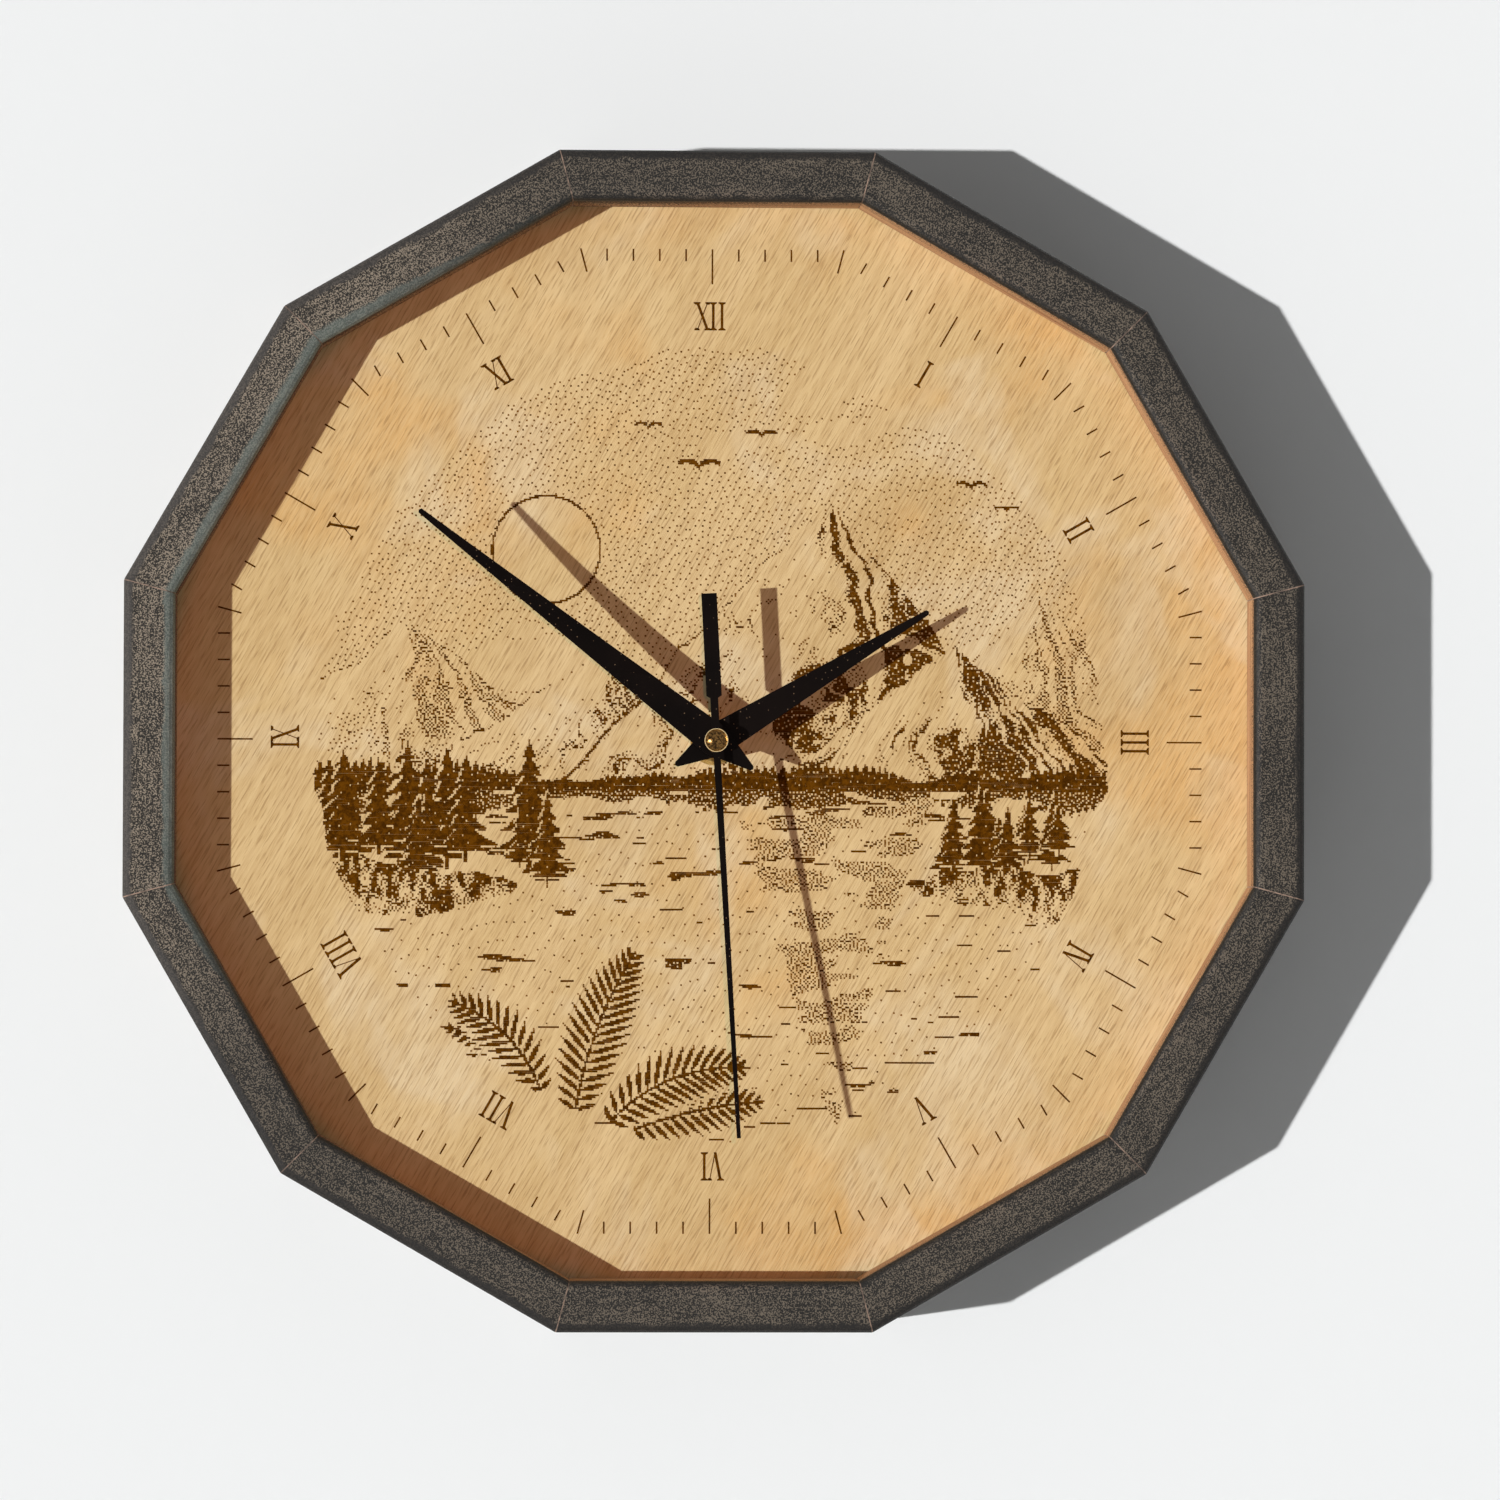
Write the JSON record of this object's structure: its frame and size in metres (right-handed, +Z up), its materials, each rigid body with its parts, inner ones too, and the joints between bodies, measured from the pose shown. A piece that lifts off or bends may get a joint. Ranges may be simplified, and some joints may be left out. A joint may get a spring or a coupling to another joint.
{
  "type": "wall clock",
  "caption": "Round-looking wooden wall clock with a mitred many-sided frame, a recessed plywood dial, tapered black hands and a battery quartz movement behind it.",
  "frame": {"origin": "on the wall, behind the centre of the dial, where the axis of the hands meets the plane of the frame's back", "axes": "+Y into the wall, along the axis of the hands; +Z up, towards twelve; +X to the right as seen from the front, so the dial faces -Y"},
  "size_m": [0.3, 0.0611, 0.3],
  "materials": {
    "black_painted_wood": "matte",
    "pale_plywood": "matte",
    "case_plastic": "satin",
    "wheel_plastic": "satin",
    "brass": "satin",
    "plated_steel": "satin",
    "rubber": "matte",
    "board_lacquer": "satin",
    "chip_resin": "satin",
    "copper_wire": "satin",
    "core_iron": "satin",
    "ferrite": "matte",
    "battery_jacket": "gloss",
    "black_hand_metal": "satin"
  },
  "bodies": {
    "clock_body": {"frame_stave_01": "black_painted_wood", "frame_stave_02": "black_painted_wood", "frame_stave_03": "black_painted_wood", "frame_stave_04": "black_painted_wood", "frame_stave_05": "black_painted_wood", "frame_stave_06": "black_painted_wood", "frame_stave_07": "black_painted_wood", "frame_stave_08": "black_painted_wood", "frame_stave_09": "black_painted_wood", "frame_stave_10": "black_painted_wood", "frame_stave_11": "black_painted_wood", "frame_stave_12": "black_painted_wood", "dial_panel": "pale_plywood", "movement_case": "case_plastic", "movement_cover": "case_plastic", "train_bridge": "wheel_plastic", "threaded_bush": "brass", "rubber_washer": "rubber", "brass_washer": "brass", "hex_nut": "brass", "hanger_plate": "plated_steel", "circuit_board": "board_lacquer", "clock_chip": "chip_resin", "quartz_crystal": "plated_steel", "coil_former": "wheel_plastic", "coil_winding": "copper_wire", "coil_core": "core_iron", "stator": "core_iron", "core_screw_1": "plated_steel", "core_screw_2": "plated_steel", "battery": "battery_jacket", "contact_positive": "plated_steel", "contact_negative": "plated_steel"},
    "rotor": {"rotor_magnet": "ferrite", "rotor_pinion": "wheel_plastic"},
    "intermediate": {"intermediate_wheel": "wheel_plastic"},
    "second": {"second_wheel": "wheel_plastic", "second_hand": "black_hand_metal", "second_hand_cap": "brass"},
    "third": {"third_wheel": "wheel_plastic"},
    "centre": {"centre_wheel": "wheel_plastic"},
    "minute": {"cannon_pinion": "wheel_plastic", "minute_hand": "black_hand_metal"},
    "motion": {"minute_wheel": "wheel_plastic"},
    "hour": {"hour_wheel": "wheel_plastic", "hour_hand": "black_hand_metal"},
    "setting": {"setting_pinion": "wheel_plastic", "setting_knob": "case_plastic"}
  },
  "joints": [
    {"name": "second_hand_turn", "type": "hinge", "parent": "clock_body", "child": "second", "pos_m": [0, -0.0415, 0], "axis": [0, 1, 0], "continuous": true},
    {"name": "minute_hand_turn", "type": "hinge", "parent": "clock_body", "child": "minute", "pos_m": [0, -0.0398, 0], "axis": [0, 1, 0], "continuous": true},
    {"name": "hour_hand_turn", "type": "hinge", "parent": "clock_body", "child": "hour", "pos_m": [0, -0.038, 0], "axis": [0, 1, 0], "continuous": true},
    {"name": "rotor_turn", "type": "hinge", "parent": "clock_body", "child": "rotor", "pos_m": [-0.00927, -0.0157, 0.01244], "axis": [0, 1, 0], "continuous": true},
    {"name": "intermediate_wheel_turn", "type": "hinge", "parent": "clock_body", "child": "intermediate", "pos_m": [-0.00432, -0.0107, 0.00749], "axis": [0, 1, 0], "continuous": true},
    {"name": "third_wheel_turn", "type": "hinge", "parent": "clock_body", "child": "third", "pos_m": [0.00736, -0.0137, 0.00425], "axis": [0, 1, 0], "continuous": true},
    {"name": "centre_wheel_turn", "type": "hinge", "parent": "clock_body", "child": "centre", "pos_m": [0, -0.0153, 0], "axis": [0, 1, 0], "continuous": true},
    {"name": "minute_wheel_turn", "type": "hinge", "parent": "clock_body", "child": "motion", "pos_m": [-0.0075, -0.0171, 0], "axis": [0, 1, 0], "continuous": true},
    {"name": "setting_knob_turn", "type": "hinge", "parent": "clock_body", "child": "setting", "pos_m": [-0.015, -0.0056, 0], "axis": [0, 1, 0], "continuous": true}
  ],
  "couplings": [
    {"joint": "rotor_turn", "follows": "second_hand_turn", "ratio": 30},
    {"joint": "intermediate_wheel_turn", "follows": "second_hand_turn", "ratio": -5},
    {"joint": "third_wheel_turn", "follows": "second_hand_turn", "ratio": -0.13333},
    {"joint": "centre_wheel_turn", "follows": "second_hand_turn", "ratio": 0.016667},
    {"joint": "minute_wheel_turn", "follows": "minute_hand_turn", "ratio": -0.33333},
    {"joint": "hour_hand_turn", "follows": "minute_hand_turn", "ratio": 0.083333},
    {"joint": "setting_knob_turn", "follows": "minute_hand_turn", "ratio": 1}
  ]
}
